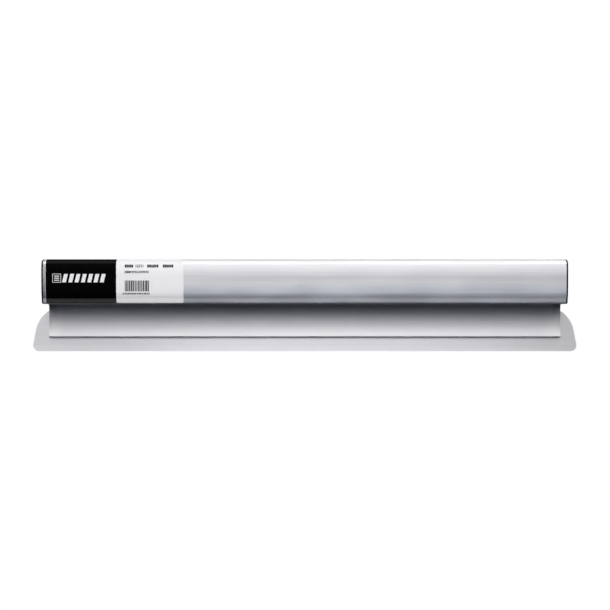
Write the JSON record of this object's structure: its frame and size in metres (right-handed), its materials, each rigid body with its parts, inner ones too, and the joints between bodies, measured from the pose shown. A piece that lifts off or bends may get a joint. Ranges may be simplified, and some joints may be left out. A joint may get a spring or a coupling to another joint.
{
  "type": "drywall skimming blade",
  "caption": "Wide drywall skimming blade: hollow aluminium handle profile with a front lip, thin stainless blade held by a screwed clamp bar, plastic end caps.",
  "frame": {"origin": "the middle of the blade's working edge, in the blade's mid-plane", "axes": "+X along the blade, towards the tool's right seen from the front; -Y out of the front, where the lip and the stickers are; +Z from the working edge up to the handle"},
  "size_m": [0.6, 0.0311, 0.1007],
  "materials": {
    "profile_aluminium": "lengthways brushed, satin anodised",
    "bar_aluminium": "mill-finish extrusion, satin anodised",
    "blade_steel": "cold-rolled stainless, ground lengthways",
    "screw_steel": "bright stainless, turned",
    "washer_steel": "plain spring steel",
    "cap_plastic": "moulded, fine spark texture",
    "label_black": "satin vinyl sticker",
    "label_white": "satin vinyl sticker"
  },
  "bodies": {
    "handle": {"handle_profile": "profile_aluminium", "end_cap_left": "cap_plastic", "end_cap_right": "cap_plastic", "label_black": "label_black", "label_white": "label_white", "cap_screw_left_top": "screw_steel", "cap_screw_left_bottom": "screw_steel", "cap_screw_right_top": "screw_steel", "cap_screw_right_bottom": "screw_steel"},
    "blade": {"blade": "blade_steel"},
    "clamp": {"clamp_bar": "bar_aluminium", "lock_washer_1": "washer_steel", "lock_washer_2": "washer_steel", "lock_washer_3": "washer_steel", "lock_washer_4": "washer_steel", "lock_washer_5": "washer_steel", "lock_washer_6": "washer_steel", "lock_washer_7": "washer_steel"},
    "screw_1": {"clamp_screw_1": "screw_steel"},
    "screw_2": {"clamp_screw_2": "screw_steel"},
    "screw_3": {"clamp_screw_3": "screw_steel"},
    "screw_4": {"clamp_screw_4": "screw_steel"},
    "screw_5": {"clamp_screw_5": "screw_steel"},
    "screw_6": {"clamp_screw_6": "screw_steel"},
    "screw_7": {"clamp_screw_7": "screw_steel"}
  },
  "joints": [
    {"name": "blade_slide", "type": "slide", "parent": "handle", "child": "blade", "axis": [0, 0, -1], "range_m": [0, 0.033]},
    {"name": "clamp_release", "type": "slide", "parent": "handle", "child": "clamp", "axis": [0, 1, 0], "range_m": [0, 0.0007]},
    {"name": "screw_turn_1", "type": "hinge", "parent": "clamp", "child": "screw_1", "pos_m": [-0.264, 0.00255, 0.0585], "axis": [0, 1, 0], "range_deg": [0, 360]},
    {"name": "screw_turn_2", "type": "hinge", "parent": "clamp", "child": "screw_2", "pos_m": [-0.176, 0.00255, 0.0585], "axis": [0, 1, 0], "range_deg": [0, 360]},
    {"name": "screw_turn_3", "type": "hinge", "parent": "clamp", "child": "screw_3", "pos_m": [-0.088, 0.00255, 0.0585], "axis": [0, 1, 0], "range_deg": [0, 360]},
    {"name": "screw_turn_4", "type": "hinge", "parent": "clamp", "child": "screw_4", "pos_m": [0, 0.00255, 0.0585], "axis": [0, 1, 0], "range_deg": [0, 360]},
    {"name": "screw_turn_5", "type": "hinge", "parent": "clamp", "child": "screw_5", "pos_m": [0.088, 0.00255, 0.0585], "axis": [0, 1, 0], "range_deg": [0, 360]},
    {"name": "screw_turn_6", "type": "hinge", "parent": "clamp", "child": "screw_6", "pos_m": [0.176, 0.00255, 0.0585], "axis": [0, 1, 0], "range_deg": [0, 360]},
    {"name": "screw_turn_7", "type": "hinge", "parent": "clamp", "child": "screw_7", "pos_m": [0.264, 0.00255, 0.0585], "axis": [0, 1, 0], "range_deg": [0, 360]}
  ],
  "couplings": [
    {"joint": "screw_turn_1", "follows": "clamp_release", "rad_per_m": 8975.9},
    {"joint": "screw_turn_2", "follows": "clamp_release", "rad_per_m": 8975.9},
    {"joint": "screw_turn_3", "follows": "clamp_release", "rad_per_m": 8975.9},
    {"joint": "screw_turn_4", "follows": "clamp_release", "rad_per_m": 8975.9},
    {"joint": "screw_turn_5", "follows": "clamp_release", "rad_per_m": 8975.9},
    {"joint": "screw_turn_6", "follows": "clamp_release", "rad_per_m": 8975.9},
    {"joint": "screw_turn_7", "follows": "clamp_release", "rad_per_m": 8975.9}
  ]
}
